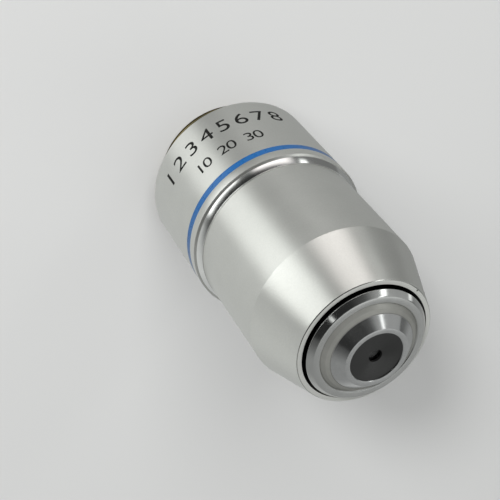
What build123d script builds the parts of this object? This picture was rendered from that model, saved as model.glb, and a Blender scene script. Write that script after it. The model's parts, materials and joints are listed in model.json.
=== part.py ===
from build123d import *
from math import copysign, sqrt
import os

os.makedirs("parts", exist_ok=True)

# A 40x class plan microscope objective for a 160 mm tube, with a spring-loaded nose.
# All sizes are in millimetres. Z runs along the optical axis towards the nose, and Z = 0
# is the shoulder that seats against the microscope's nosepiece.

# Mounting thread, the society screw of 0.8 inch
thread_d = 20.32
thread_length = 4.4
thread_lead = 0.4
thread_wall = 1.56
undercut_width = 0.8
undercut_depth = 0.5
shoulder_relief_gap = 0.25
shoulder_relief_depth = 0.15

# Barrel and the guide tube that runs forward from it
barrel_length = 16.0
barrel_step = 0.8
edge_break = 0.25
barrel_floor = 2.0
guide_tube_length = 13.0
guide_tube_wall = 1.4

# Colour ring, an enamel line in a groove near the barrel's front edge
colour_ring_back = 2.25
colour_ring_width = 1.1
colour_ring_depth = 0.2

# Parfocal ring between the barrel and the sleeve
parfocal_ring_length = 1.0
parfocal_ring_lip = 0.05

# Front sleeve: a cylinder, a cone and a lip round the nose
sleeve_length = 16.0
sleeve_wall = 0.9
sleeve_edge = 0.15
cone_length = 7.9
lip_length = 4.4
lip_wall = 0.75
lip_edge = 0.1
cavity_gap = 0.2

# Inner tube that carries the lenses and slides in the guide tube
tube_bore_d = 12.8
tube_wall = 1.2
tube_front_wall = 0.9
tube_ledge = 0.8
tube_ledge_length = 1.7
tube_tail = 3.1
land_length = 18.45
land_relief_length = 7.0
land_relief_depth = 0.25
land_edge = 0.2
running_gap = 0.05
stop_gap = 0.05
nose_travel = 2.5

# Spring behind the inner tube
spring_wire_d = 0.9
spring_wire_sides = 8
spring_gap = 0.5
spring_turns = 7
washer_thickness = 0.8
washer_seat = 0.9
washer_gap = 0.3
washer_fit = 0.1

# Guide pin in the inner tube, in a slot of the guide tube
pin_d = 1.6
pin_back = 4.0
pin_depth = 1.5
pin_recess = 0.2

# Nose cap: the polished ring round the front cell
nose_projection = 3.1
nose_face_height = 1.2
mouth_gap = 0.27
cap_wall = 0.88
cap_taper = 0.5
cap_taper_rise = 0.45
cap_web = 1.6
cap_skirt_gap = 0.3
cap_edge = 0.08

# Front cell: the stepped boss that holds the front lens
cell_flange = 0.4
cell_flange_thickness = 0.8
cell_flange_gap = 0.3
cell_bevel = 0.45
cell_bevel_height = 0.35
cell_slope = 0.55
cell_slope_height = 0.3
cell_skirt_length = 1.1
cell_skirt_gap = 0.1
cell_skirt_wall = 1.1
boss_taper = 1.2

# Black mask and front lens in the tip
tip_rim = 0.81
tip_edge = 0.08
mask_recess = 0.15
mask_thickness = 0.6
mask_hole_d = 1.8
mask_dish = 0.25
front_lens_d = 4.4
front_lens_edge = 0.8
front_lens_bulge = 1.2
front_lens_hollow = 0.12

# Lens stack in the inner tube, from the front ledge to the rear
cell_fit = 0.02
cell_ledge = 0.4
cell_margin = 0.15
meniscus_cell_wall = 2.9
meniscus_edge = 1.0
meniscus_bulge = 1.3
meniscus_hollow = 0.9
front_spacer_length = 0.8
front_doublet_cell_wall = 1.8
front_doublet_bulge = 0.8
front_doublet_cement = 1.1
front_doublet_flint_edge = 1.9
front_doublet_crown_edge = 0.7
front_doublet_back = 0.5
middle_spacer_length = 1.6
middle_doublet_cell_wall = 1.5
middle_doublet_bulge = 0.7
middle_doublet_cement = 1.0
middle_doublet_flint_edge = 1.7
middle_doublet_crown_edge = 0.8
middle_doublet_back = 0.4
long_spacer_length = 7.8
rear_cell_wall = 2.1
rear_lens_hollow = 0.9
rear_lens_cement = 0.6
rear_lens_flint_edge = 2.0
rear_lens_crown_edge = 1.6
rear_lens_back = 0.5
spacer_wall = 1.2
stop_thickness = 0.3
stop_lip = 3.5
retaining_ring_length = 1.6
retaining_ring_wall = 1.6
spanner_slot_width = 1.0
spanner_slot_depth = 0.7

# Radii, worked outwards from the lens tube
tube_bore_r = tube_bore_d / 2
tube_tail_r = tube_bore_r + tube_wall
spring_r = tube_tail_r + spring_gap + spring_wire_d / 2
guide_bore_r = spring_r + spring_wire_d / 2 + spring_gap
land_r = guide_bore_r - running_gap
guide_tube_r = guide_bore_r + guide_tube_wall
sleeve_r = guide_tube_r + sleeve_wall
barrel_r = sleeve_r + barrel_step
thread_r = thread_d / 2
shoulder_r = thread_r + shoulder_relief_gap
# The rear bore leaves the washer its seat and the thread its wall
rear_bore_r = min(guide_bore_r - washer_seat, thread_r - thread_wall)
tube_front_r = tube_bore_r + tube_front_wall
cell_flange_r = tube_front_r - cell_flange_gap
cell_body_r = cell_flange_r - cell_flange
nose_r = tube_front_r + cap_wall
mouth_r = nose_r + mouth_gap
cone_front_r = mouth_r + lip_wall
cavity_r = guide_bore_r + cavity_gap

# Heights, worked forwards from the shoulder
sleeve_rear_z = barrel_length + parfocal_ring_length
cone_z = sleeve_rear_z + sleeve_length
front_z = cone_z + cone_length
lip_z = front_z - lip_length
guide_tube_z = barrel_length + guide_tube_length
nose_face_z = front_z + nose_face_height
tip_z = front_z + nose_projection
land_front_z = lip_z - stop_gap
land_rear_z = land_front_z - land_length
washer_z = barrel_floor + washer_thickness
cap_web_z = nose_face_z - cap_web
tube_front_z = cap_web_z - cell_flange_thickness
tube_ledge_z = tube_front_z - tube_ledge_length

cell_r = tube_bore_r - cell_fit


def turn(outline):
    """Turns a closed outline of (radius, height) points about the optical axis."""
    with BuildSketch(Plane.XZ) as section:
        with BuildLine():
            Polyline(outline, close=True)
        make_face()
    revolve(section.sketch, axis=Axis.Z)


def surface(radius, vertex_z, edge_z):
    """Draws half of a lens surface, from its vertex on the axis to its edge."""
    if abs(vertex_z - edge_z) < 1e-6:
        Line((0, vertex_z), (radius, edge_z))
    else:
        TangentArc((0, vertex_z), (radius, edge_z), tangent=(1, 0))


def grind(radius, rear_vertex_z, rear_edge_z, front_edge_z, front_vertex_z):
    """Makes a lens from its two spherical surfaces and its edge."""
    with BuildSketch(Plane.XZ) as section:
        with BuildLine():
            surface(radius, rear_vertex_z, rear_edge_z)
            Line((radius, rear_edge_z), (radius, front_edge_z))
            surface(radius, front_vertex_z, front_edge_z)
            Line((0, front_vertex_z), (0, rear_vertex_z))
        make_face()
    revolve(section.sketch, axis=Axis.Z)


def height_at(r, radius, vertex_z, edge_z):
    """Height of a spherical surface at a distance r from the axis."""
    rise = vertex_z - edge_z
    curve = (radius**2 + rise**2) / (2 * abs(rise))
    return vertex_z - copysign(curve - sqrt(curve**2 - r**2), rise)


def seat(cell_front_z, lens_r, bulge):
    """Heights of a lens cell's ledge and of the front edge of the lens that bears on it."""
    ledge_z = cell_front_z - cell_ledge
    if bulge > 0:
        return ledge_z, ledge_z - height_at(lens_r - cell_ledge, lens_r, bulge, 0)
    return ledge_z, ledge_z


def cell(rear_z, front_z, lens_r, ledge_z):
    """Makes a lens cell that is loaded from the rear, with its ledge in front of the lens."""
    ledge_r = lens_r - cell_ledge
    turn([
        (lens_r, rear_z),
        (cell_r, rear_z),
        (cell_r, front_z),
        (ledge_r, front_z),
        (ledge_r, ledge_z),
        (lens_r, ledge_z),
    ])


def ring(inner_r, outer_r, low_z, high_z):
    """Makes a plain flat ring or spacer tube."""
    turn([(inner_r, low_z), (outer_r, low_z), (outer_r, high_z), (inner_r, high_z)])


# Heights of the lens stack, worked backwards from the ledge in the tube. Each cell is as
# long as its lens, and each lens bears on the ledge at the front of its cell.
meniscus_r = cell_r - meniscus_cell_wall
meniscus_ledge_z, meniscus_front_z = seat(tube_ledge_z, meniscus_r, 0)
meniscus_rear_z = meniscus_front_z - meniscus_edge
meniscus_cell_z = meniscus_rear_z - meniscus_bulge - cell_margin
front_spacer_z = meniscus_cell_z - front_spacer_length

front_doublet_r = cell_r - front_doublet_cell_wall
front_doublet_ledge_z, front_doublet_front_z = seat(front_spacer_z, front_doublet_r, front_doublet_bulge)
front_doublet_cement_z = front_doublet_front_z - front_doublet_flint_edge
front_doublet_rear_z = front_doublet_cement_z - front_doublet_crown_edge
front_doublet_cell_z = front_doublet_rear_z - front_doublet_back - cell_margin
middle_spacer_z = front_doublet_cell_z - middle_spacer_length

middle_doublet_r = cell_r - middle_doublet_cell_wall
middle_doublet_ledge_z, middle_doublet_front_z = seat(middle_spacer_z, middle_doublet_r, middle_doublet_bulge)
middle_doublet_cement_z = middle_doublet_front_z - middle_doublet_flint_edge
middle_doublet_rear_z = middle_doublet_cement_z - middle_doublet_crown_edge
middle_doublet_cell_z = middle_doublet_rear_z - middle_doublet_back - cell_margin
long_spacer_z = middle_doublet_cell_z - long_spacer_length

rear_lens_r = cell_r - rear_cell_wall
rear_lens_ledge_z, rear_lens_front_z = seat(long_spacer_z, rear_lens_r, 0)
rear_lens_cement_z = rear_lens_front_z - rear_lens_flint_edge
rear_lens_rear_z = rear_lens_cement_z - rear_lens_crown_edge
rear_cell_z = rear_lens_rear_z - rear_lens_back - cell_margin
stop_z = rear_cell_z - stop_thickness
retaining_ring_z = stop_z - retaining_ring_length
tube_rear_z = retaining_ring_z - tube_tail

# Barrel, turned in one piece with its mounting thread and its guide tube
groove_r = barrel_r - colour_ring_depth
groove_low_z = barrel_length - colour_ring_back - colour_ring_width / 2
groove_high_z = groove_low_z + colour_ring_width
undercut_r = thread_r - undercut_depth
with BuildPart() as rear_barrel:
    turn([
        (rear_bore_r, -thread_length),
        (thread_r - thread_lead, -thread_length),
        (thread_r, thread_lead - thread_length),
        (thread_r, -undercut_width),
        (undercut_r, -undercut_width),
        (undercut_r, shoulder_relief_depth),
        (shoulder_r, shoulder_relief_depth),
        (shoulder_r, 0),
        (barrel_r - edge_break, 0),
        (barrel_r, edge_break),
        (barrel_r, groove_low_z),
        (groove_r, groove_low_z),
        (groove_r, groove_high_z),
        (barrel_r, groove_high_z),
        (barrel_r, barrel_length - edge_break),
        (barrel_r - edge_break, barrel_length),
        (guide_tube_r, barrel_length),
        (guide_tube_r, guide_tube_z),
        (guide_bore_r, guide_tube_z),
        (guide_bore_r, barrel_floor),
        (rear_bore_r, barrel_floor),
    ])
    # The guide slot opens through the guide tube, on the side away from the engraving
    pin_z = sleeve_rear_z + pin_back + pin_d / 2
    slot_r = pin_d / 2 + running_gap
    slot_low_z = pin_z - nose_travel - slot_r - running_gap
    slot_high_z = pin_z + slot_r
    with BuildSketch(Plane.XZ.offset(-guide_bore_r - guide_tube_wall)):
        with Locations((0, (slot_low_z + slot_high_z) / 2)):
            SlotOverall(slot_high_z - slot_low_z, 2 * slot_r, rotation=90)
    extrude(amount=2 * guide_tube_wall, mode=Mode.SUBTRACT)
rear_barrel.part.label = "rear_barrel"

with BuildPart() as colour_ring:
    ring(groove_r, barrel_r, groove_low_z, groove_high_z)
colour_ring.part.label = "colour_ring"

with BuildPart() as parfocal_ring:
    turn([
        (guide_tube_r, barrel_length),
        (barrel_r - edge_break, barrel_length),
        (sleeve_r + parfocal_ring_lip, sleeve_rear_z),
        (guide_tube_r, sleeve_rear_z),
    ])
parfocal_ring.part.label = "parfocal_ring"

with BuildPart() as front_sleeve:
    turn([
        (guide_tube_r, sleeve_rear_z),
        (sleeve_r - sleeve_edge, sleeve_rear_z),
        (sleeve_r, sleeve_rear_z + sleeve_edge),
        (sleeve_r, cone_z),
        (cone_front_r, front_z - lip_edge),
        (cone_front_r - lip_edge, front_z),
        (mouth_r + lip_edge, front_z),
        (mouth_r, front_z - lip_edge),
        (mouth_r, lip_z),
        (cavity_r, lip_z),
        (cavity_r, guide_tube_z),
        (guide_tube_r, guide_tube_z),
    ])
front_sleeve.part.label = "front_sleeve"

# Inner tube: a long guide land, a threaded nose end and a tail inside the spring
relief_low_z = (land_rear_z + land_front_z - land_relief_length) / 2
relief_high_z = relief_low_z + land_relief_length
relief_r = land_r - land_relief_depth
tube_ledge_r = tube_bore_r - tube_ledge
pin_hole_r = tube_bore_r + pin_depth
with BuildPart() as inner_tube:
    turn([
        (tube_bore_r, tube_rear_z),
        (tube_tail_r, tube_rear_z),
        (tube_tail_r, land_rear_z),
        (land_r - land_edge, land_rear_z),
        (land_r, land_rear_z + land_edge),
        (land_r, relief_low_z),
        (relief_r, relief_low_z),
        (relief_r, relief_high_z),
        (land_r, relief_high_z),
        (land_r, land_front_z - land_edge),
        (land_r - land_edge, land_front_z),
        (tube_front_r, land_front_z),
        (tube_front_r, tube_front_z),
        (tube_ledge_r, tube_front_z),
        (tube_ledge_r, tube_ledge_z),
        (tube_bore_r, tube_ledge_z),
    ])
    with BuildSketch(Plane.XZ.offset(-pin_hole_r)):
        with Locations((0, pin_z)):
            Circle(pin_d / 2)
    extrude(amount=-guide_bore_r, mode=Mode.SUBTRACT)
inner_tube.part.label = "inner_tube"

with BuildPart() as guide_pin:
    with BuildSketch(Plane.XZ.offset(-pin_hole_r)):
        with Locations((0, pin_z)):
            Circle(pin_d / 2)
    extrude(amount=-(guide_tube_r - pin_recess - pin_hole_r))
guide_pin.part.label = "guide_pin"

with BuildPart() as thrust_washer:
    ring(tube_tail_r + washer_gap, guide_bore_r - washer_fit, barrel_floor, washer_z)
thrust_washer.part.label = "thrust_washer"

# Coil spring between the washer and the land, with plain open ends and a many-sided wire
spring_length = land_rear_z - washer_z
spring_rise = spring_length - spring_wire_d
with BuildPart() as coil_spring:
    with BuildLine():
        coil = Helix(
            spring_rise / spring_turns,
            spring_rise,
            spring_r,
            center=(0, 0, washer_z + spring_wire_d / 2),
        )
    with BuildSketch(Plane(origin=coil @ 0, z_dir=coil % 0)):
        RegularPolygon(spring_wire_d / 2, spring_wire_sides)
    sweep(path=coil, is_frenet=True)
coil_spring.part.label = "coil_spring"

# Nose cap, screwed over the front of the tube, clamps the front cell by its flange
with BuildPart() as nose_cap:
    turn([
        (tube_front_r, land_front_z + cap_skirt_gap),
        (nose_r, land_front_z + cap_skirt_gap),
        (nose_r, front_z + cap_taper_rise),
        (nose_r - cap_taper, nose_face_z - cap_edge),
        (nose_r - cap_taper - cap_edge, nose_face_z),
        (cell_body_r, nose_face_z),
        (cell_body_r, cap_web_z),
        (tube_front_r, cap_web_z),
    ])
nose_cap.part.label = "nose_cap"

# Front cell: flange, stepped face, tapered boss and the seats for mask and lens
front_lens_r = front_lens_d / 2
mask_seat_z = tip_z - mask_recess - mask_thickness
front_lens_rear_z = mask_seat_z - front_lens_edge
bevel_r = cell_body_r - cell_bevel
bevel_z = nose_face_z + cell_bevel_height
boss_r = bevel_r - cell_slope
boss_z = bevel_z + cell_slope_height
tip_r = boss_r - boss_taper
mask_r = tip_r - tip_rim
skirt_r = tube_ledge_r - cell_skirt_gap
with BuildPart() as front_cell:
    turn([
        (skirt_r - cell_skirt_wall, tube_front_z - cell_skirt_length),
        (skirt_r, tube_front_z - cell_skirt_length),
        (skirt_r, tube_front_z),
        (cell_flange_r, tube_front_z),
        (cell_flange_r, cap_web_z),
        (cell_body_r, cap_web_z),
        (cell_body_r, nose_face_z),
        (bevel_r, bevel_z),
        (boss_r, boss_z),
        (tip_r, tip_z - tip_edge),
        (tip_r - tip_edge, tip_z),
        (mask_r + tip_edge, tip_z),
        (mask_r, tip_z - tip_edge),
        (mask_r, mask_seat_z),
        (front_lens_r, mask_seat_z),
        (front_lens_r, front_lens_rear_z),
    ])
front_cell.part.label = "front_cell"

with BuildPart() as front_mask:
    turn([
        (mask_hole_d / 2, mask_seat_z),
        (mask_r, mask_seat_z),
        (mask_r, mask_seat_z + mask_thickness),
        (mask_hole_d / 2, mask_seat_z + mask_thickness - mask_dish),
    ])
front_mask.part.label = "front_mask"

with BuildPart() as front_lens:
    grind(
        front_lens_r,
        front_lens_rear_z - front_lens_bulge,
        front_lens_rear_z,
        mask_seat_z,
        mask_seat_z - front_lens_hollow,
    )
front_lens.part.label = "front_lens"

# Meniscus behind the front lens, hollow side forward
with BuildPart() as meniscus_cell:
    cell(meniscus_cell_z, tube_ledge_z, meniscus_r, meniscus_ledge_z)
meniscus_cell.part.label = "meniscus_cell"

with BuildPart() as meniscus_lens:
    grind(
        meniscus_r,
        meniscus_rear_z - meniscus_bulge,
        meniscus_rear_z,
        meniscus_front_z,
        meniscus_front_z - meniscus_hollow,
    )
meniscus_lens.part.label = "meniscus_lens"

with BuildPart() as front_spacer:
    ring(cell_r - spacer_wall, cell_r, front_spacer_z, meniscus_cell_z)
front_spacer.part.label = "front_spacer"

# Front doublet: a flint meniscus with a crown cemented into its hollow side
with BuildPart() as front_doublet_cell:
    cell(front_doublet_cell_z, front_spacer_z, front_doublet_r, front_doublet_ledge_z)
front_doublet_cell.part.label = "front_doublet_cell"

with BuildPart() as front_doublet_flint:
    grind(
        front_doublet_r,
        front_doublet_cement_z + front_doublet_cement,
        front_doublet_cement_z,
        front_doublet_front_z,
        front_doublet_front_z + front_doublet_bulge,
    )
front_doublet_flint.part.label = "front_doublet_flint"

with BuildPart() as front_doublet_crown:
    grind(
        front_doublet_r,
        front_doublet_rear_z - front_doublet_back,
        front_doublet_rear_z,
        front_doublet_cement_z,
        front_doublet_cement_z + front_doublet_cement,
    )
front_doublet_crown.part.label = "front_doublet_crown"

with BuildPart() as middle_spacer:
    ring(cell_r - spacer_wall, cell_r, middle_spacer_z, front_doublet_cell_z)
middle_spacer.part.label = "middle_spacer"

# Middle doublet, of the same form and a little larger
with BuildPart() as middle_doublet_cell:
    cell(middle_doublet_cell_z, middle_spacer_z, middle_doublet_r, middle_doublet_ledge_z)
middle_doublet_cell.part.label = "middle_doublet_cell"

with BuildPart() as middle_doublet_flint:
    grind(
        middle_doublet_r,
        middle_doublet_cement_z + middle_doublet_cement,
        middle_doublet_cement_z,
        middle_doublet_front_z,
        middle_doublet_front_z + middle_doublet_bulge,
    )
middle_doublet_flint.part.label = "middle_doublet_flint"

with BuildPart() as middle_doublet_crown:
    grind(
        middle_doublet_r,
        middle_doublet_rear_z - middle_doublet_back,
        middle_doublet_rear_z,
        middle_doublet_cement_z,
        middle_doublet_cement_z + middle_doublet_cement,
    )
middle_doublet_crown.part.label = "middle_doublet_crown"

with BuildPart() as long_spacer:
    ring(cell_r - spacer_wall, cell_r, long_spacer_z, middle_doublet_cell_z)
long_spacer.part.label = "long_spacer"

# Rear group: a thick cemented meniscus, hollow side forward
with BuildPart() as rear_lens_cell:
    cell(rear_cell_z, long_spacer_z, rear_lens_r, rear_lens_ledge_z)
rear_lens_cell.part.label = "rear_lens_cell"

with BuildPart() as rear_lens_flint:
    grind(
        rear_lens_r,
        rear_lens_cement_z - rear_lens_cement,
        rear_lens_cement_z,
        rear_lens_front_z,
        rear_lens_front_z - rear_lens_hollow,
    )
rear_lens_flint.part.label = "rear_lens_flint"

with BuildPart() as rear_lens_crown:
    grind(
        rear_lens_r,
        rear_lens_rear_z - rear_lens_back,
        rear_lens_rear_z,
        rear_lens_cement_z,
        rear_lens_cement_z - rear_lens_cement,
    )
rear_lens_crown.part.label = "rear_lens_crown"

with BuildPart() as rear_stop:
    ring(cell_r - stop_lip, cell_r, stop_z, rear_cell_z)
rear_stop.part.label = "rear_stop"

# Retaining ring with two spanner slots in its rear face
with BuildPart() as retaining_ring:
    ring(tube_bore_r - retaining_ring_wall, tube_bore_r, retaining_ring_z, stop_z)
    with BuildSketch(Plane.XY.offset(retaining_ring_z)):
        Rectangle(2 * tube_bore_d, spanner_slot_width)
    extrude(amount=spanner_slot_depth, mode=Mode.SUBTRACT)
retaining_ring.part.label = "retaining_ring"

pieces = [
    rear_barrel,
    colour_ring,
    parfocal_ring,
    front_sleeve,
    inner_tube,
    guide_pin,
    thrust_washer,
    coil_spring,
    nose_cap,
    front_cell,
    front_mask,
    front_lens,
    meniscus_cell,
    meniscus_lens,
    front_spacer,
    front_doublet_cell,
    front_doublet_flint,
    front_doublet_crown,
    middle_spacer,
    middle_doublet_cell,
    middle_doublet_flint,
    middle_doublet_crown,
    long_spacer,
    rear_lens_cell,
    rear_lens_flint,
    rear_lens_crown,
    rear_stop,
    retaining_ring,
]
for piece in pieces:
    export_step(piece.part, f"parts/{piece.part.label}.step")
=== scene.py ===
"""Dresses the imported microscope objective: satin chrome barrel and sleeve, polished nose, black mask."""

import json
import math

import bmesh
import bpy
from mathutils import Matrix, Vector


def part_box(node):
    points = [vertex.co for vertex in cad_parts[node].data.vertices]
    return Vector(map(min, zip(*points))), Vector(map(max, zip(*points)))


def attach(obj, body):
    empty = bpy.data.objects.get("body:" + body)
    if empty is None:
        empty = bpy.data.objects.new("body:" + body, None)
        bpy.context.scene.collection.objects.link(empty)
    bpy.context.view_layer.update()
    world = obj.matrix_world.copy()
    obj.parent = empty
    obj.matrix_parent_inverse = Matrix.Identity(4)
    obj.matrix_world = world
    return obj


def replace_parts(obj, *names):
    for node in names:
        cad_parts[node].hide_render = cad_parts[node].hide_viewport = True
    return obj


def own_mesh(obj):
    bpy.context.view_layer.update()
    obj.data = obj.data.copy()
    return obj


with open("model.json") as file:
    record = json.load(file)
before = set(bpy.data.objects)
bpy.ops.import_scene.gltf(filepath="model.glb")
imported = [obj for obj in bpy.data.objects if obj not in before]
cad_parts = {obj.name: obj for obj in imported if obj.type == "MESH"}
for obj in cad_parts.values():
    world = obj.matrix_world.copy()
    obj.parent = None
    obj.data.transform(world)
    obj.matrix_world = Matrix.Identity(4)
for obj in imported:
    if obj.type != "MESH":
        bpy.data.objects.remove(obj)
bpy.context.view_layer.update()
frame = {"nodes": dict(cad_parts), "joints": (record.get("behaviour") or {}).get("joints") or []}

MM = 0.001


def extent(node):
    """A turned node's outer radius, rear height and front height, in millimetres."""
    low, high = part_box(node)
    return high.x / MM, low.z / MM, high.z / MM


# Sizes of the turned pieces, in millimetres, read from the frame
barrel_r, thread_end_z, guide_tube_z = extent("rear_barrel")
enamel_r, enamel_low_z, enamel_high_z = extent("colour_ring")
parfocal_r, barrel_front_z, sleeve_rear_z = extent("parfocal_ring")
sleeve_r, _, sleeve_front_z = extent("front_sleeve")
cap_r, cap_rear_z, cap_face_z = extent("nose_cap")
cell_flange_r, cell_rear_z, tip_z = extent("front_cell")
mask_r, mask_seat_z, mask_front_z = extent("front_mask")
spring_outer_r, spring_low_z, spring_high_z = extent("coil_spring")

# Sizes inside those pieces, in millimetres
rear_bore_r = 8.6
guide_bore_r = 9.5
guide_tube_r = 10.9
barrel_floor_z = 2.0
thread_r = 10.16
thread_pitch = 25.4 / 36
thread_depth = 0.64 * thread_pitch
thread_flat_share = 0.12
thread_top_z = -0.8
undercut_r = 9.66
shoulder_r = 10.41
shoulder_relief_z = 0.15
barrel_chamfer = 0.25
enamel_depth = 0.2
slot_r = 0.85
slot_low_z = 18.4
slot_high_z = 22.65
cone_z = 33.0
cone_front_r = 9.2
mouth_r = 8.45
lip_z = 36.5
cavity_r = 9.7
cap_bore_r = 7.3
cap_taper_z = 41.35
cap_face_r = 7.68
cap_web_z = 40.5
cell_body_r = 6.6
cell_bevel_r = 6.15
cell_bevel_z = 42.45
boss_r = 5.6
boss_z = 42.75
tip_r = 4.4
flange_z = 39.7
skirt_r = 5.5
skirt_bore_r = 4.4
front_lens_r = 2.2
front_lens_z = 42.45
mask_hole_r = 0.9
mask_dish = 0.25
wire_r = 0.45
spring_turns = 7
spring_steps_per_turn = 60
spring_wire_sides = 14
black_above_z = 31.0

# The height of a capital at font size 1, and how much wider than the font the numerals are cut
numeral_cap = 0.73
numeral_stretch = 1.1

# Segments of a turned piece, and of one with a long outer edge
plain_segments = 192
fine_segments = 256

lamp_distance = 1.6
floor_half = 0.9

# Small pits at the edge of the lip, each a place and a radius in millimetres
lip_pits = [
    (Vector((-8.88, -1.53, 40.9)), 0.17),
    (Vector((-6.46, -6.40, 40.75)), 0.13),
]


class Value:
    """A socket that carries a value, with arithmetic that adds the Math nodes for it."""

    def __init__(self, board, socket):
        self.board = board
        self.socket = socket

    def __add__(self, other):
        return self.board.math("ADD", self, other)

    def __radd__(self, other):
        return self.board.math("ADD", other, self)

    def __sub__(self, other):
        return self.board.math("SUBTRACT", self, other)

    def __rsub__(self, other):
        return self.board.math("SUBTRACT", other, self)

    def __mul__(self, other):
        return self.board.math("MULTIPLY", self, other)

    def __rmul__(self, other):
        return self.board.math("MULTIPLY", other, self)

    def __pow__(self, other):
        return self.board.math("POWER", self, other)


class Board:
    """The node tree of one finish or of the studio."""

    def __init__(self, tree):
        self.tree = tree
        tree.nodes.clear()

    def node(self, kind, settings, sockets):
        """Adds a node: its settings come first, then the values or links of its sockets."""
        node = self.tree.nodes.new("ShaderNode" + kind)
        for name, value in settings.items():
            setattr(node, name, value)
        for name, value in sockets.items():
            if isinstance(value, Value):
                self.tree.links.new(value.socket, node.inputs[name])
            else:
                node.inputs[name].default_value = value
        return node

    def value(self, kind, settings, sockets, output=0):
        return Value(self, self.node(kind, settings, sockets).outputs[output])

    def math(self, operation, *operands):
        return self.value("Math", {"operation": operation}, dict(enumerate(operands)))

    def mix(self, amount, colour_a, colour_b, blend="MIX"):
        """Mixes two colours by an amount from 0 to 1."""
        settings = {"data_type": "RGBA", "blend_type": blend}
        return self.value("Mix", settings, {0: amount, 6: rgba(colour_a), 7: rgba(colour_b)}, 2)

    def ramp(self, value, low, high):
        """Rises smoothly from 0 to 1 while the value goes from low to high."""
        settings = {"interpolation_type": "SMOOTHSTEP"}
        return self.value("MapRange", settings, {"Value": value, "From Min": low, "From Max": high})

    def band(self, value, low, high, blur):
        """Is 1 while the value lies between low and high, with blurred ends."""
        return self.ramp(value, low - blur, low + blur) * (1 - self.ramp(value, high - blur, high + blur))

    def noise(self, vector, scale, detail=2.0, roughness=0.5):
        sockets = {"Vector": vector, "Scale": scale, "Detail": detail, "Roughness": roughness}
        return self.value("TexNoise", {"noise_dimensions": "3D"}, sockets, "Fac")

    def bump(self, height, depth_mm, strength):
        sockets = {"Height": height, "Distance": depth_mm * MM, "Strength": strength}
        return self.value("Bump", {}, sockets)


def rgba(colour):
    """Gives a plain colour its alpha, and passes a linked one on."""
    return colour if isinstance(colour, Value) else (*colour, 1.0)


class Finish(Board):
    """A material: its surface coordinates in millimetres and its Principled shader."""

    def __init__(self, name):
        self.material = bpy.data.materials.new(name)
        self.material.use_nodes = True
        super().__init__(self.material.node_tree)
        place = self.value("TexCoord", {}, {}, "Object")
        self.place = self.value("VectorMath", {"operation": "SCALE"}, {0: place, "Scale": 1 / MM})
        split = self.node("SeparateXYZ", {}, {0: self.place})
        self.x, self.y, self.z = (Value(self, socket) for socket in split.outputs)
        self.radius = (self.x * self.x + self.y * self.y) ** 0.5

    def rings(self, pitch_mm, detail=2.0):
        """Noise that runs round the axis, as a turning tool leaves it."""
        across = self.value("CombineXYZ", {}, {0: self.radius, 1: self.z, 2: 0.0})
        return self.noise(across, 1 / pitch_mm, detail)

    def shade(self, **sockets):
        """Ends the material in a Principled shader with these sockets, and returns it."""
        named = {name.replace("_", " "): value for name, value in sockets.items()}
        shader = self.node("BsdfPrincipled", {}, named)
        output = self.node("OutputMaterial", {}, {})
        self.tree.links.new(shader.outputs[0], output.inputs[0])
        return self.material


def satin_chrome():
    """Bead-blasted and plated brass, with a fine grain and a few pits at the edge of the lip."""
    finish = Finish("satin_chrome")
    grain = finish.noise(finish.place, 4.5, 3.0, 0.6)
    cloud = finish.noise(finish.place, 0.35, 2.0)
    plate = finish.mix(cloud, (0.70, 0.705, 0.672), (0.76, 0.765, 0.732))
    worn = finish.mix(grain, plate, finish.mix(1.0, plate, (0.88, 0.88, 0.88), "MULTIPLY"))
    for spot, spot_r in lip_pits:
        away = finish.value("VectorMath", {"operation": "DISTANCE"}, {0: finish.place, 1: spot}, "Value")
        worn = finish.mix(1 - finish.ramp(away, spot_r * 0.5, spot_r), worn, (0.08, 0.078, 0.07))
    height = grain + finish.rings(0.09) * 0.2
    front_face = finish.ramp(finish.z, sleeve_front_z - 0.02, sleeve_front_z - 0.005)
    front_edge = finish.band(finish.z, sleeve_front_z - 0.09, sleeve_front_z - 0.015, 0.01)
    return finish.shade(
        Base_Color=worn,
        Metallic=0.93 - front_face * 0.25 + front_edge * 0.07,
        Roughness=0.26 + grain * 0.08 + cloud * 0.04 + front_face * 0.1 - front_edge * 0.14,
        Normal=finish.bump(height, 0.014, 0.6),
    )


def thread_brass():
    """Bare brass of the thread, darkened as painted shade, with a painted glint on its crests."""
    finish = Finish("thread_brass")
    # Painted highlight: the crest mask lightens the colour there as a glint, and also makes the brass
    # smoother.
    glinting_crest = finish.ramp(finish.radius, thread_r - 0.3, thread_r)
    stain = finish.noise(finish.place, 1.2, 3.0)
    # Painted shade: the brass is darkened because the thread lies in shade, with a random stain in it.
    dull = finish.mix(stain, (0.07, 0.06, 0.03), (0.14, 0.115, 0.05))
    return finish.shade(
        Base_Color=finish.mix(glinting_crest * 0.6, dull, (0.50, 0.42, 0.22)),
        Metallic=1.0,
        Roughness=0.40 - glinting_crest * 0.15 + stain * 0.1,
        Normal=finish.bump(finish.rings(0.05), 0.004, 0.5),
    )


def turned_brass():
    """Machined brass of the hidden tube and washer, black at its front where the gap round the nose shows
    it; that black is partly paint and partly painted shade of the deep gap.
    """
    finish = Finish("turned_brass")
    stain = finish.noise(finish.place, 0.5, 3.0)
    bare = finish.mix(stain, (0.60, 0.44, 0.20), (0.74, 0.58, 0.30))
    # Painted shade, in part: above this height the tube turns black, so the gap round the nose looks dark.
    black = finish.ramp(finish.z, black_above_z, black_above_z + 0.4)
    return finish.shade(
        Base_Color=finish.mix(black, bare, (0.012, 0.012, 0.012)),
        Metallic=1 - black,
        Roughness=0.22 + stain * 0.14 + black * 0.3,
        Normal=finish.bump(finish.rings(0.12), 0.006, 0.6),
    )


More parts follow.
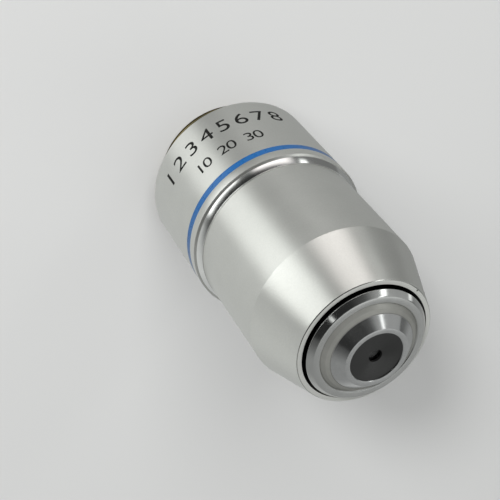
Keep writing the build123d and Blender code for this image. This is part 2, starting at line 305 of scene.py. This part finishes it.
def blue_enamel():
    """Glossy blue enamel in its groove."""
    finish = Finish("blue_enamel")
    cloud = finish.noise(finish.place, 0.8, 2.0)
    return finish.shade(
        Base_Color=finish.mix(cloud, (0.0035, 0.070, 0.215), (0.006, 0.083, 0.25)),
        Roughness=0.24 + cloud * 0.08,
        Normal=finish.bump(finish.noise(finish.place, 5.0, 2.0), 0.004, 0.4),
    )


def polished_nickel(name, roughness, spread, gap_shade=0.0):
    """Bright turned plate, whose tool rings spread a reflection. Painted shade darkens a wall down in the
    gap.
    """
    finish = Finish(name)
    rings = finish.rings(0.06, 3.0)
    smear = finish.noise(finish.place, 0.9, 3.0)
    plate = finish.mix(smear, (0.68, 0.685, 0.675), (0.76, 0.765, 0.75))
    # Painted shade: the cap's wall below its taper, down in the gap, is darkened almost to black.
    shaded_gap_wall = gap_shade * (1 - finish.ramp(finish.z, cap_taper_z - 0.12, cap_taper_z))
    return finish.shade(
        Base_Color=finish.mix(shaded_gap_wall, plate, (0.02, 0.02, 0.02)),
        Metallic=1.0,
        Roughness=roughness + smear * 0.06,
        Anisotropic=spread,
        Anisotropic_Rotation=0.25,
        Normal=finish.bump(rings, 0.003, 0.5),
    )


def turned_nickel():
    """Plate of the front cell: dull grey on its steps, polished on the boss and the tip, with painted
    shade on its lower step and at the boss's foot.
    """
    finish = Finish("turned_nickel")
    polished = finish.ramp(finish.z, boss_z - 0.03, boss_z + 0.03)
    rings = finish.rings(0.07, 3.0)
    smear = finish.noise(finish.place, 1.1, 3.0)
    bright = finish.mix(smear, (0.66, 0.665, 0.67), (0.76, 0.765, 0.76))
    dull = finish.mix(smear, (0.38, 0.38, 0.355), (0.46, 0.46, 0.43))
    # Painted shade: the lower step, below the bevel's edge, is a darker copy of the same dull plate.
    upper_step = finish.ramp(finish.z, cell_bevel_z - 0.04, cell_bevel_z + 0.02)
    dull = finish.mix(upper_step, finish.mix(1.0, dull, (0.93, 0.93, 0.93), "MULTIPLY"), dull)
    # Painted shade: a dark band on the bevel just under the boss's foot, in the hollow corner where the
    # two faces meet.
    boss_foot_shade = finish.band(finish.z, boss_z - 0.05, boss_z - 0.005, 0.02)
    plate = finish.mix(polished, dull, bright)
    return finish.shade(
        Base_Color=finish.mix(boss_foot_shade * 0.55, plate, (0.10, 0.10, 0.095)),
        Metallic=0.75 + polished * 0.25,
        Roughness=0.40 - polished * 0.27 + smear * 0.08,
        Anisotropic=0.5,
        Anisotropic_Rotation=0.25,
        Normal=finish.bump(rings, 0.004, 0.6),
    )


def black_mask():
    """Black anodised face of the mask."""
    finish = Finish("black_mask")
    smear = finish.noise(finish.place, 1.5, 3.0)
    return finish.shade(
        Base_Color=finish.mix(smear, (0.003, 0.003, 0.003), (0.006, 0.006, 0.0055)),
        Roughness=0.24 + smear * 0.12,
        IOR=1.65,
        Anisotropic=0.6,
        Anisotropic_Rotation=0.25,
        Normal=finish.bump(smear, 0.003, 0.3),
    )


def numeral_black():
    """Matt black paint in the engraved numerals."""
    finish = Finish("numeral_black")
    grain = finish.noise(finish.place, 4.0, 3.0)
    return finish.shade(
        Base_Color=finish.mix(grain, (0.004, 0.004, 0.004), (0.010, 0.010, 0.009)),
        Roughness=0.55 + grain * 0.2,
        Specular_IOR_Level=0.2,
        Normal=finish.bump(grain, 0.005, 0.4),
    )


def black_lacquer():
    """Matt black lacquer on the lens cells and spacers."""
    finish = Finish("black_lacquer")
    grain = finish.noise(finish.place, 6.0, 3.0)
    return finish.shade(
        Base_Color=finish.mix(grain, (0.010, 0.010, 0.011), (0.022, 0.022, 0.022)),
        Roughness=0.42 + grain * 0.2,
        Normal=finish.bump(grain, 0.005, 0.4),
    )


def spring_steel():
    """Drawn wire, bright with a trace of oil."""
    finish = Finish("spring_steel")
    stain = finish.noise(finish.place, 1.5, 3.0)
    return finish.shade(
        Base_Color=finish.mix(stain, (0.36, 0.36, 0.37), (0.52, 0.52, 0.53)),
        Metallic=1.0,
        Roughness=0.26 + stain * 0.12,
        Normal=finish.bump(finish.noise(finish.place, 9.0, 2.0), 0.004, 0.4),
    )


def optical_glass():
    """Polished glass with a faint coating tint."""
    finish = Finish("optical_glass")
    tint = finish.noise(finish.place, 0.3, 1.0)
    return finish.shade(
        Base_Color=finish.mix(tint, (0.90, 0.95, 0.93), (0.94, 0.93, 0.97)),
        Roughness=0.0,
        IOR=1.58,
        Transmission_Weight=1.0,
    )


def rounded(corners, steps=4):
    """Turns a closed outline of (radius, height, edge radius) corners into points with round edges."""
    points = []
    for i, (r, z, edge) in enumerate(corners):
        here = Vector((r, z))
        back = Vector(corners[i - 1][:2]) - here
        ahead = Vector(corners[(i + 1) % len(corners)][:2]) - here
        if not edge:
            points.append(here)
            continue
        half = back.angle(ahead) / 2
        reach = min(edge / math.tan(half), 0.45 * back.length, 0.45 * ahead.length)
        start = here + back.normalized() * reach
        end = here + ahead.normalized() * reach
        centre = here + (back.normalized() + ahead.normalized()).normalized() * reach / math.cos(half)
        bend = (start - centre).length
        for k in range(steps + 1):
            points.append(centre + (start - centre).slerp(end - centre, k / steps) * bend)
    return points


def surface_of_revolution(name, rows, segments):
    """Turns rows about the axis. A row is (radius, height), or a function of the angle that gives it."""
    shape = bmesh.new()
    columns = []
    for i in range(segments + 1):
        angle = 2 * math.pi * i / segments
        column = []
        for row in rows:
            r, z = row(angle) if callable(row) else row
            column.append(shape.verts.new((r * math.cos(angle) * MM, r * math.sin(angle) * MM, z * MM)))
        columns.append(column)
    for near, far in zip(columns, columns[1:]):
        for k, _ in enumerate(rows):
            after = (k + 1) % len(rows)
            shape.faces.new((near[k], far[k], far[after], near[after]))
    bmesh.ops.remove_doubles(shape, verts=shape.verts, dist=0.0001 * MM)
    bmesh.ops.recalc_face_normals(shape, faces=shape.faces)
    mesh = bpy.data.meshes.new(name)
    shape.to_mesh(mesh)
    shape.free()
    return mesh


def place(name, mesh, body, finishes, slot):
    """Links a finished mesh as a piece that rides on a body."""
    piece = bpy.data.objects.new(name, mesh)
    bpy.context.scene.collection.objects.link(piece)
    for finish in finishes:
        mesh.materials.append(finish)
    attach(piece, body)
    return piece


def smooth(piece):
    """Shades a turned piece smoothly between its flats."""
    mesh = piece.data
    mesh.polygons.foreach_set("use_smooth", [True] * len(mesh.polygons))
    mesh.set_sharp_from_angle(angle=math.radians(35))
    even = piece.modifiers.new("even_flats", "WEIGHTED_NORMAL")
    even.keep_sharp = True
    return piece


def turned(name, corners, body, finish, slot, node, segments=plain_segments):
    """Makes a turned piece from its outline and lets it stand for its node."""
    mesh = surface_of_revolution(name, rounded(corners), segments)
    piece = smooth(place(name, mesh, body, [finish], slot))
    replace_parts(piece, node)
    return piece


def make_sleeve(finish):
    corners = [
        (guide_tube_r, sleeve_rear_z, 0),
        (sleeve_r - 0.15, sleeve_rear_z, 0.04),
        (sleeve_r, sleeve_rear_z + 0.15, 0.06),
        (sleeve_r, cone_z, 0.12),
        (cone_front_r, sleeve_front_z - 0.1, 0.05),
        (cone_front_r - 0.1, sleeve_front_z, 0.05),
        (mouth_r + 0.1, sleeve_front_z, 0.04),
        (mouth_r, sleeve_front_z - 0.1, 0.04),
        (mouth_r, lip_z, 0),
        (cavity_r, lip_z, 0),
        (cavity_r, guide_tube_z, 0),
        (guide_tube_r, guide_tube_z, 0),
    ]
    return turned("satin_sleeve", corners, "barrel", finish, "satin_chrome", "front_sleeve", fine_segments)


def make_parfocal_ring(finish):
    land_r = sleeve_r + 0.04
    corners = [
        (guide_tube_r, barrel_front_z, 0),
        (parfocal_r, barrel_front_z, 0.04),
        (land_r, sleeve_rear_z - 0.07, 0.05),
        (land_r, sleeve_rear_z, 0.03),
        (guide_tube_r, sleeve_rear_z, 0),
    ]
    name = "polished_parfocal_ring"
    return turned(name, corners, "barrel", finish, "polished_nickel", "parfocal_ring", fine_segments)


def make_enamel_line(finish):
    """The enamel is a little hollow between the edges of its groove."""
    sag = 0.015
    middle = (enamel_low_z + enamel_high_z) / 2
    corners = [
        (enamel_r - enamel_depth, enamel_low_z, 0),
        (enamel_r, enamel_low_z, 0.02),
        (enamel_r - sag, (enamel_low_z + middle) / 2, 0),
        (enamel_r - sag, (enamel_high_z + middle) / 2, 0),
        (enamel_r, enamel_high_z, 0.02),
        (enamel_r - enamel_depth, enamel_high_z, 0),
    ]
    return turned("enamel_line", corners, "barrel", finish, "blue_enamel", "colour_ring", fine_segments)


def make_nose_cap(finish):
    corners = [
        (cap_bore_r, cap_rear_z, 0),
        (cap_r, cap_rear_z, 0.05),
        (cap_r, cap_taper_z, 0.05),
        (cap_face_r, cap_face_z - 0.08, 0.04),
        (cap_face_r - 0.08, cap_face_z, 0.04),
        (cell_body_r + 0.16, cap_face_z, 0.10),
        (cell_body_r, cap_face_z - 0.14, 0.03),
        (cell_body_r, cap_web_z, 0),
        (cap_bore_r, cap_web_z, 0),
    ]
    return turned("polished_nose_cap", corners, "nose", finish, "polished_nickel", "nose_cap")


def make_front_cell(finish):
    corners = [
        (skirt_bore_r, cell_rear_z, 0),
        (skirt_r, cell_rear_z, 0.05),
        (skirt_r, flange_z, 0),
        (cell_flange_r, flange_z, 0.05),
        (cell_flange_r, cap_web_z, 0.05),
        (cell_body_r, cap_web_z, 0),
        (cell_body_r, cap_face_z - 0.10, 0.04),
        (cell_bevel_r, cell_bevel_z, 0.08),
        (boss_r, boss_z, 0.06),
        (tip_r, tip_z - 0.08, 0.04),
        (tip_r - 0.08, tip_z, 0.04),
        (mask_r + 0.08, tip_z, 0.04),
        (mask_r, tip_z - 0.08, 0.03),
        (mask_r, mask_seat_z, 0),
        (front_lens_r, mask_seat_z, 0),
        (front_lens_r, front_lens_z, 0),
    ]
    return turned("stepped_front_cell", corners, "nose", finish, "polished_nickel", "front_cell")


def make_mask(finish):
    """The mask's dished face carries the fine rings that its turning left."""
    pitch, depth, per_ring = 0.12, 0.002, 4
    width = mask_r - mask_hole_r
    count = int(width / pitch) * per_ring
    rows = [(mask_hole_r, mask_seat_z), (mask_r, mask_seat_z)]
    for k in range(count + 1):
        share = k / count
        ring = depth * math.sin(2 * math.pi * k / per_ring)
        dish = mask_dish * share**1.5
        rows.append((mask_r - share * width, mask_front_z - dish - depth + ring))
    mesh = surface_of_revolution("dished_mask", rows, plain_segments)
    piece = smooth(place("dished_mask", mesh, "nose", [finish], "black_lacquer"))
    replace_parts(piece, "front_mask")
    return piece


def thread_row(offset):
    """One line of the screw thread's form, which climbs by a pitch in each turn."""

    def row(angle):
        climb = thread_pitch * (offset + angle / (2 * math.pi))
        z = min(max(thread_end_z + climb, thread_end_z), thread_top_z)
        rise = 1 - abs(2 * (offset % 1.0) - 1)
        flank = (rise - thread_flat_share) / (1 - 2 * thread_flat_share)
        crown = 0.5 - 0.5 * math.cos(math.pi * min(max(flank, 0), 1))
        lead = min(z - thread_end_z, thread_top_z - z)
        core_r = thread_r - thread_depth
        return min(core_r + crown * thread_depth, core_r + lead), z

    return row


def make_barrel(finishes):
    """The barrel with its screw thread, and the guide tube with the slot for the pin."""
    per_turn = 10
    turns = math.ceil((thread_top_z - thread_end_z) / thread_pitch)
    thread = [thread_row(k / per_turn - 1) for k in range((turns + 1) * per_turn + 1)]
    edge = 0.05
    body = rounded([
        (undercut_r, thread_top_z, 0),
        (undercut_r, shoulder_relief_z, 0),
        (shoulder_r, shoulder_relief_z, 0),
        (shoulder_r, 0.0, edge),
        (barrel_r - barrel_chamfer, 0.0, edge),
        (barrel_r, barrel_chamfer, edge),
        (barrel_r, enamel_low_z, 0.02),
        (barrel_r - enamel_depth, enamel_low_z, 0),
        (barrel_r - enamel_depth, enamel_high_z, 0),
        (barrel_r, enamel_high_z, 0.02),
        (barrel_r, barrel_front_z - barrel_chamfer, edge),
        (barrel_r - barrel_chamfer, barrel_front_z, edge),
        (guide_tube_r, barrel_front_z, 0),
        (guide_tube_r, guide_tube_z, edge),
        (guide_bore_r, guide_tube_z, edge),
        (guide_bore_r, barrel_floor_z, 0),
        (rear_bore_r, barrel_floor_z, edge),
        (rear_bore_r, thread_end_z, edge),
        (thread_r - thread_depth, thread_end_z, 0),
    ])
    mesh = surface_of_revolution("turned_barrel", thread + body, fine_segments)
    piece = place("turned_barrel", mesh, "barrel", finishes, "satin_chrome")
    cut_slot(piece)
    for face in piece.data.polygons:
        centre = face.center / MM
        radius = math.hypot(centre.x, centre.y)
        if centre.z < 0.01 and radius < shoulder_r:
            face.material_index = 1
        elif centre.z > barrel_front_z or radius < guide_bore_r + 0.1:
            face.material_index = 2
    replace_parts(smooth(piece), "rear_barrel")
    return piece


def cut_slot(piece):
    """Cuts the pin's slot through the guide tube."""
    shape = bmesh.new()
    steps = 24
    loops = [[], []]
    for y, loop in zip((guide_bore_r - 0.6, guide_tube_r + 0.6), loops):
        for k in range(steps):
            turn = 2 * math.pi * (k + 0.5) / steps
            middle_z = slot_high_z - slot_r if math.sin(turn) > 0 else slot_low_z + slot_r
            x, z = slot_r * math.cos(turn), middle_z + slot_r * math.sin(turn)
            loop.append(shape.verts.new((x * MM, y * MM, z * MM)))
    for k in range(steps):
        after = (k + 1) % steps
        shape.faces.new((loops[0][k], loops[0][after], loops[1][after], loops[1][k]))
    for loop in loops:
        shape.faces.new(loop)
    bmesh.ops.recalc_face_normals(shape, faces=shape.faces)
    mesh = bpy.data.meshes.new("slot_cutter")
    shape.to_mesh(mesh)
    shape.free()
    cutter = bpy.data.objects.new("slot_cutter", mesh)
    bpy.context.scene.collection.objects.link(cutter)
    cut = piece.modifiers.new("slot", "BOOLEAN")
    cut.operation = "DIFFERENCE"
    cut.object = cutter
    piece.data = baked_mesh(piece)
    piece.modifiers.clear()
    bpy.data.objects.remove(cutter)


def baked_mesh(piece):
    """The piece's mesh with its modifiers applied."""
    depsgraph = bpy.context.evaluated_depsgraph_get()
    depsgraph.update()
    return bpy.data.meshes.new_from_object(piece.evaluated_get(depsgraph))


def make_spring(finish):
    """The round wire wound in plain open turns."""
    coil_r = spring_outer_r - wire_r
    rise = spring_high_z - spring_low_z - 2 * wire_r
    sides = spring_wire_sides
    count = spring_turns * spring_steps_per_turn
    slope = rise / (spring_turns * 2 * math.pi * coil_r)
    shape = bmesh.new()
    rings = []
    for i in range(count + 1):
        turn = 2 * math.pi * spring_turns * i / count
        outward = Vector((math.cos(turn), math.sin(turn), 0))
        along = Vector((-math.sin(turn), math.cos(turn), slope)).normalized()
        across = along.cross(outward)
        centre = outward * coil_r + Vector((0, 0, spring_low_z + wire_r + rise * i / count))
        ring = []
        for k in range(sides):
            around = 2 * math.pi * k / sides
            point = centre + (outward * math.cos(around) + across * math.sin(around)) * wire_r
            ring.append(shape.verts.new(point * MM))
        rings.append(ring)
    for near, far in zip(rings, rings[1:]):
        for k in range(sides):
            after = (k + 1) % sides
            shape.faces.new((near[k], near[after], far[after], far[k]))
    shape.faces.new(rings[0])
    shape.faces.new(rings[-1])
    bmesh.ops.recalc_face_normals(shape, faces=shape.faces)
    mesh = bpy.data.meshes.new("wound_spring")
    shape.to_mesh(mesh)
    shape.free()
    piece = smooth(place("wound_spring", mesh, "barrel", [finish], "spring_steel"))
    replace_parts(piece, "coil_spring")
    travel = max(abs(limit) for limit in frame["joints"][0]["range_m"]) / MM
    length = spring_high_z - spring_low_z
    (length - travel) / length
    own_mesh(piece)
    return piece


def make_numerals(name, text, height, base_z, start, end, finish):
    """Fills one line of engraved numerals, spread evenly between two angles round the barrel."""
    proud, sunk, slice_width = 0.004, 0.03, 0.12
    shape = bmesh.new()
    for i, character in enumerate(text):
        if character == " ":
            continue
        curve = bpy.data.curves.new("numeral", "FONT")
        curve.body = character
        curve.align_x = "CENTER"
        curve.size = 1.0
        letter = bpy.data.objects.new("numeral", curve)
        flat = bpy.data.meshes.new_from_object(letter)
        scale = height / numeral_cap
        middle = math.radians(start + (end - start) * i / (len(text) - 1))
        glyph = bmesh.new()
        glyph.from_mesh(flat)
        for vertex in glyph.verts:
            vertex.co = Vector((vertex.co.x * scale * numeral_stretch, vertex.co.y * scale, 0))
        cuts = int(height / slice_width)
        for k in range(-cuts, cuts):
            parts = glyph.verts[:] + glyph.edges[:] + glyph.faces[:]
            plane = Vector((k * slice_width, 0, 0))
            bmesh.ops.bisect_plane(glyph, geom=parts, plane_co=plane, plane_no=Vector((1, 0, 0)))
        wrap(glyph, shape, middle, base_z, barrel_r + proud, barrel_r - sunk)
        glyph.free()
        bpy.data.objects.remove(letter)
        bpy.data.meshes.remove(flat)
    mesh = bpy.data.meshes.new(name)
    shape.to_mesh(mesh)
    shape.free()
    return place(name, mesh, "barrel", [finish], "black_lacquer")


def wrap(glyph, shape, middle, base_z, face_r, foot_r):
    """Wraps a flat glyph round the barrel and gives it a thickness. Its top points to the thread."""

    def point(vertex, radius):
        angle = middle - vertex.co.x / barrel_r
        return Vector((math.sin(angle) * radius, -math.cos(angle) * radius, base_z - vertex.co.y)) * MM

    face_verts = {v: shape.verts.new(point(v, face_r)) for v in glyph.verts}
    foot_verts = {v: shape.verts.new(point(v, foot_r)) for v in glyph.verts}
    for face in glyph.faces:
        shape.faces.new([face_verts[v] for v in face.verts])
        shape.faces.new([foot_verts[v] for v in reversed(face.verts)])
    for edge in glyph.edges:
        if len(edge.link_faces) == 1:
            a, b = edge.verts
            shape.faces.new((face_verts[a], face_verts[b], foot_verts[b], foot_verts[a]))
    bmesh.ops.recalc_face_normals(shape, faces=shape.faces)


def make_floor():
    """A plain pale floor under the standing objective. Reflections leave it out."""
    finish = Finish("pale_floor")
    cloud = finish.noise(finish.place, 0.004, 2.0)
    colour = finish.mix(cloud, (0.60, 0.605, 0.60), (0.64, 0.64, 0.635))
    material = finish.shade(Base_Color=colour, Roughness=0.8)
    mesh = bpy.data.meshes.new("floor")
    half = floor_half
    corners = [(-half, -half), (half, -half), (half, half), (-half, half)]
    mesh.from_pydata([(x, y, thread_end_z * MM) for x, y in corners], [], [(0, 1, 2, 3)])
    mesh.materials.append(material)
    floor = bpy.data.objects.new("floor", mesh)
    bpy.context.scene.collection.objects.link(floor)
    floor.visible_glossy = False
    floor.visible_diffuse = False
    floor.visible_shadow = False
    return floor


# The studio's own axes. Its table lies beside the objective, as when the objective is put down.
table_up = Vector((-0.521, -0.8535, 0.0))
table_side = Vector((0.8535, -0.521, 0.0))


def make_studio():
    """A studio of soft panels over a pale table, painted on the world by direction."""
    world = bpy.data.worlds.new("studio")
    bpy.context.scene.world = world
    world.use_nodes = True
    board = Board(world.node_tree)
    way = board.value("TexCoord", {}, {}, "Generated")
    rise, side, back = (along(board, way, axis) for axis in (table_up, table_side, Vector((0, 0, -1))))
    # Swing is an angle about the optical axis, in degrees: 0 lies along the table and 90 above it.
    # Back is 1 behind the thread and -1 ahead of the nose.
    swing = board.math("ARCTAN2", rise, side) * (180 / math.pi)
    behind = board.ramp(back, 0.0, 0.25)
    far_behind = board.ramp(back, 0.40, 0.85)
    far_ahead = board.ramp(0 - back, 0.75, 0.95)
    left = board.ramp(0 - side, 0.2, 0.6)

    near_room = 0.025 + 0.05 * board.ramp(swing, 75, 100) + 0.38 * behind + 0.20 * far_ahead
    far_room = 0.20 + 0.22 * far_behind + 0.17 * (1 - behind)
    room = near_room + (far_room - near_room) * board.ramp(swing, 100, 128)
    room = room * (1 - 0.3 * board.band(swing, 66, 98, 8) * far_behind)
    window = board.band(swing, 13, 59, 6) * board.ramp(back, 0.06, 0.16) * (1.95 - 1.43 * far_behind)
    window = window * (1 - 0.35 * board.ramp(back, 0.775, 0.83))
    glint = board.band(swing, 37, 43, 2) * board.band(back, -0.56, -0.42, 0.03) * 1.2
    strip = board.band(swing, 131, 139, 2) * board.band(back, -0.62, 0.20, 0.06) * 1.8
    edge = board.band(board.math("ABSOLUTE", swing), 177, 200, 1.5)
    edge = edge * board.band(back, -0.02, 0.17, 0.04) * 0.9
    panel = board.band(swing, 80, 121, 7) * board.band(back, 0.08, 0.45, 0.06) * 1.3
    veil = board.band(rise, -0.56, -0.20, 0.06) * board.band(back, -0.95, -0.68, 0.05)
    veil = veil * board.band(side, -0.60, 0.0, 0.10) * 0.6

    above = board.ramp(rise, -0.06, 0.06)
    dimmed = 0.65 * (1 - behind) * (1 - board.ramp(0 - rise, 0.05, 0.60))
    own_shadow = (0.3 * board.ramp(0 - rise, 0.75, 0.95) + 0.55 * left) * (1 - 0.5 * far_behind) * behind
    near_edge = 1 + 0.2 * board.band(back, 0.25, 0.50, 0.10)
    table = (0.29 + 0.29 * behind) * (1 - dimmed) * (1 + 0.3 * left * (1 - behind))
    table = table * (1 - own_shadow) * near_edge
    under = board.ramp(back, 0.87, 0.94)
    cool = ((room + window + glint + strip) * above + edge + veil + table * (1 - above)) * (1 - under)

    light = board.mix(1.0, (0.98, 1.0, 0.985), grey(board, cool), "MULTIPLY")
    warm = board.mix(1.0, (1.0, 0.95, 0.94), grey(board, panel * above), "MULTIPLY")
    studio = board.mix(1.0, light, warm, "ADD")
    background = board.node("Background", {}, {"Color": studio, "Strength": 1.0})
    output = board.node("OutputWorld", {}, {})
    board.tree.links.new(background.outputs[0], output.inputs[0])


def along(board, way, axis):
    """How far a direction runs along an axis, from -1 to 1."""
    return board.value("VectorMath", {"operation": "DOT_PRODUCT"}, {0: way, 1: axis}, "Value")


def grey(board, value):
    """A neutral colour of a worked-out brightness."""
    return board.value("CombineColor", {}, {0: value, 1: value, 2: value})


def make_lamp(name, direction, size, power):
    """A soft lamp. It shades the floor and the matt finishes, and isn't reflected."""
    light = bpy.data.lights.new(name, "AREA")
    light.shape = "DISK"
    light.size = size
    light.energy = power
    lamp = bpy.data.objects.new(name, light)
    bpy.context.scene.collection.objects.link(lamp)
    aim = Vector((0, 0, 0.01))
    lamp.location = aim + Vector(direction).normalized() * lamp_distance
    lamp.rotation_mode = "QUATERNION"
    lamp.rotation_quaternion = (aim - lamp.location).to_track_quat("-Z", "Y")
    lamp.visible_glossy = False
    lamp.visible_transmission = False
    lamp.visible_camera = False


def make_camera():
    """The photograph's viewpoint, rolled as it saw the lying objective."""
    camera = bpy.data.cameras.new("camera")
    camera.sensor_width = 36.0
    camera.lens = 82.683
    camera.clip_start = 0.01
    camera.clip_end = 10.0
    right = Vector((-0.7827, 0.4778, 0.3988)).normalized()
    forward = Vector((0.0282, 0.6674, -0.7442)).normalized()
    up = right.cross(forward)
    holder = bpy.data.objects.new("camera", camera)
    holder.matrix_world = Matrix((
        (right.x, up.x, -forward.x, 0.0),
        (right.y, up.y, -forward.y, -0.10665),
        (right.z, up.z, -forward.z, 0.13353),
        (0, 0, 0, 1),
    ))
    bpy.context.scene.collection.objects.link(holder)
    bpy.context.scene.camera = holder


chrome = satin_chrome()
brass = turned_brass()
nickel = polished_nickel("polished_nickel", 0.12, 0.5, 1.0)
lacquer = black_lacquer()
paint = numeral_black()
steel = spring_steel()
glass = optical_glass()

make_barrel([chrome, thread_brass(), brass])
make_enamel_line(blue_enamel())
make_parfocal_ring(polished_nickel("ring_nickel", 0.09, 0.0))
make_sleeve(chrome)
make_nose_cap(nickel)
make_front_cell(turned_nickel())
make_mask(black_mask())
make_spring(steel)
upper_line = "1 2 3 4 5 6 7 8"
lower_line = "10 20 30"
make_numerals("upper_numerals", upper_line, height=2.85, base_z=5.75, start=34, end=-52, finish=paint)
make_numerals("lower_numerals", lower_line, height=2.05, base_z=10.2, start=13, end=-30, finish=paint)

hidden_finishes = {
    "inner_tube": brass,
    "thrust_washer": brass,
    "guide_pin": steel,
    "front_spacer": lacquer,
    "middle_spacer": lacquer,
    "long_spacer": lacquer,
    "rear_stop": lacquer,
    "retaining_ring": lacquer,
}
for node, piece in frame["nodes"].items():
    if piece.hide_render:
        continue
    if node.endswith("_cell"):
        finish = lacquer
    elif node.endswith(("_lens", "_flint", "_crown")):
        finish = glass
    else:
        finish = hidden_finishes[node]
    piece.material_slots[0].material = finish

make_floor()
make_studio()
make_lamp("key_lamp", (0.15, -0.80, 0.58), size=0.80, power=11)
make_lamp("low_lamp", (0.02, -0.86, 0.50), size=0.28, power=17)
make_lamp("side_lamp", (-0.30, -0.73, 0.61), size=0.80, power=12)
make_camera()
bpy.context.scene.view_settings.view_transform = "Standard"
